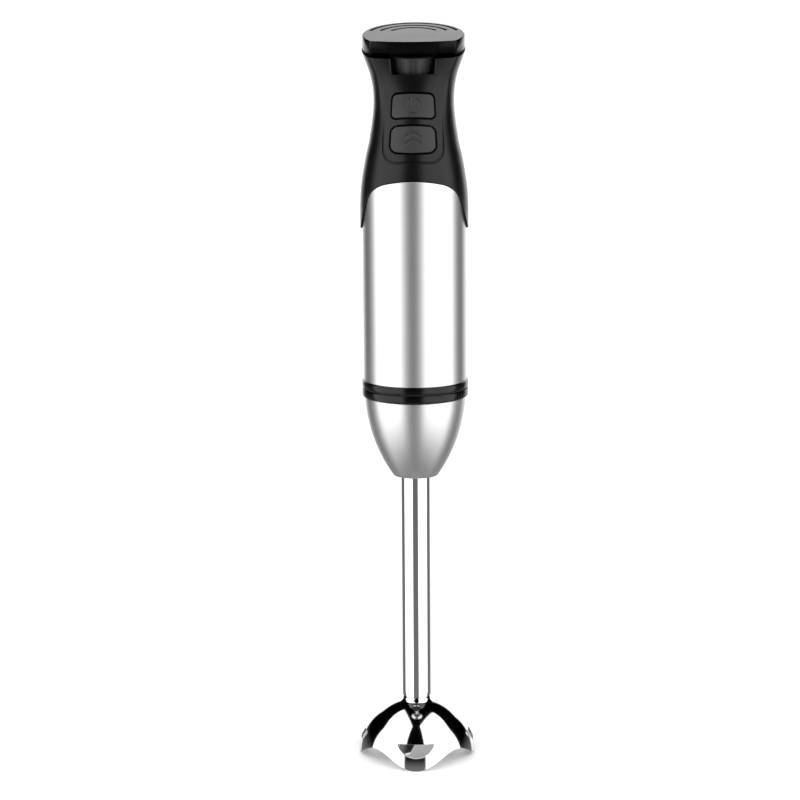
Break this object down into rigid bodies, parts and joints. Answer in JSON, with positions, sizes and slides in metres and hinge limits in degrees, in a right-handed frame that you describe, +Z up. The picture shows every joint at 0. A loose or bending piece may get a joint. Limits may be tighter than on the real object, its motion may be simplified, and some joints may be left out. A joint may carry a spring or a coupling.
{
  "type": "immersion blender",
  "caption": "Hand-held immersion blender with a detachable steel blending shaft, domed blade guard, speed dial and two push buttons.",
  "frame": {"origin": "middle of the blade guard's rim, where the blender stands", "axes": "+Z up the shaft, -Y the front with the buttons, +X to the right seen from the front"},
  "size_m": [0.065, 0.065, 0.4028],
  "materials": {
    "satin_black_plastic": "satin moulded plastic",
    "cap_grey_plastic": "fine-grained moulded plastic",
    "button_grey_plastic": "fine-grained moulded plastic",
    "ring_black_plastic": "glossy moulded plastic",
    "inner_plastic": "plain moulded plastic",
    "white_plastic": "plain moulded plastic",
    "brushed_steel": "satin stainless steel",
    "polished_steel": "polished stainless steel",
    "blade_steel": "ground stainless steel",
    "shaft_steel": "ground steel",
    "lamination_steel": "stacked silicon steel",
    "copper_wire": "enamelled copper wire",
    "copper_bar": "machined copper",
    "bronze": "sintered bronze",
    "carbon": "graphite",
    "cast_aluminium": "die cast",
    "rubber": "moulded rubber",
    "board_green": "lacquered circuit board"
  },
  "bodies": {
    "motor_unit": {"motor_collar": "ring_black_plastic", "stator_core": "lamination_steel", "field_coils": "copper_wire", "lower_motor_bracket": "cast_aluminium", "upper_motor_bracket": "cast_aluminium", "lower_bearing": "shaft_steel", "upper_bearing": "shaft_steel", "motor_screws": "shaft_steel", "brush_holders": "copper_bar", "carbon_brushes": "carbon", "lower_motor_mount": "rubber", "upper_motor_mount": "rubber", "motor_housing": "inner_plastic", "steel_sleeve": "brushed_steel", "handle_shell": "satin_black_plastic", "top_cap": "cap_grey_plastic", "cord_gland": "rubber", "speed_potentiometer": "inner_plastic", "power_spring": "shaft_steel", "turbo_spring": "shaft_steel", "control_board": "board_green", "power_switch": "carbon", "turbo_switch": "carbon", "suppression_capacitor": "inner_plastic", "terminal_block": "white_plastic", "board_screws": "shaft_steel", "board_carrier": "inner_plastic"},
    "power_button": {"power_button": "button_grey_plastic"},
    "turbo_button": {"turbo_button": "button_grey_plastic"},
    "speed_dial": {"speed_dial": "button_grey_plastic"},
    "rotor": {"motor_shaft": "shaft_steel", "armature_core": "lamination_steel", "armature_winding": "copper_wire", "commutator": "copper_bar", "cooling_fan": "inner_plastic", "drive_coupler": "white_plastic"},
    "coupling_seal": {"coupling_seal": "rubber"},
    "blending_attachment": {"attachment_collar": "ring_black_plastic", "collar_screws": "shaft_steel", "shaft_carrier": "inner_plastic", "upper_bush": "bronze", "steel_shroud": "brushed_steel", "shaft_tube": "polished_steel", "blade_guard": "polished_steel", "lower_bearing_housing": "inner_plastic", "lower_bush": "bronze", "shaft_seal": "rubber"},
    "drive_shaft": {"drive_shaft": "shaft_steel", "shaft_coupling": "white_plastic", "retaining_ring": "shaft_steel", "blade": "blade_steel", "blade_nut": "blade_steel", "thrust_washer": "shaft_steel"}
  },
  "joints": [
    {"name": "power_press", "type": "slide", "parent": "motor_unit", "child": "power_button", "axis": [0, 0.9563, -0.2924], "range_m": [0, 0.0016], "stiffness_N_per_m": 1500, "springref_m": -0.0006, "deforming": ["power_spring"]},
    {"name": "turbo_press", "type": "slide", "parent": "motor_unit", "child": "turbo_button", "axis": [0, 0.9563, -0.2924], "range_m": [0, 0.0016], "stiffness_N_per_m": 1500, "springref_m": -0.0006, "deforming": ["turbo_spring"]},
    {"name": "dial_turn", "type": "hinge", "parent": "motor_unit", "child": "speed_dial", "pos_m": [0, -0.0026, 0.3823], "axis": [0, -0.2351, 0.972], "range_deg": [-120, 120]},
    {"name": "rotor_spin", "type": "hinge", "parent": "motor_unit", "child": "rotor", "pos_m": [0, 0, 0.26], "axis": [0, 0, 1], "continuous": true},
    {"name": "attachment_pull", "type": "slide", "parent": "motor_unit", "child": "coupling_seal", "axis": [0, 0, -1], "range_m": [0, 0.07]},
    {"name": "attachment_twist", "type": "hinge", "parent": "coupling_seal", "child": "blending_attachment", "pos_m": [0, 0, 0.209], "axis": [0, 0, 1], "range_deg": [0, 30]},
    {"name": "blade_spin", "type": "hinge", "parent": "coupling_seal", "child": "drive_shaft", "pos_m": [0, 0, 0.1], "axis": [0, 0, 1], "continuous": true}
  ],
  "couplings": [
    {"joint": "blade_spin", "follows": "rotor_spin", "ratio": 1}
  ]
}
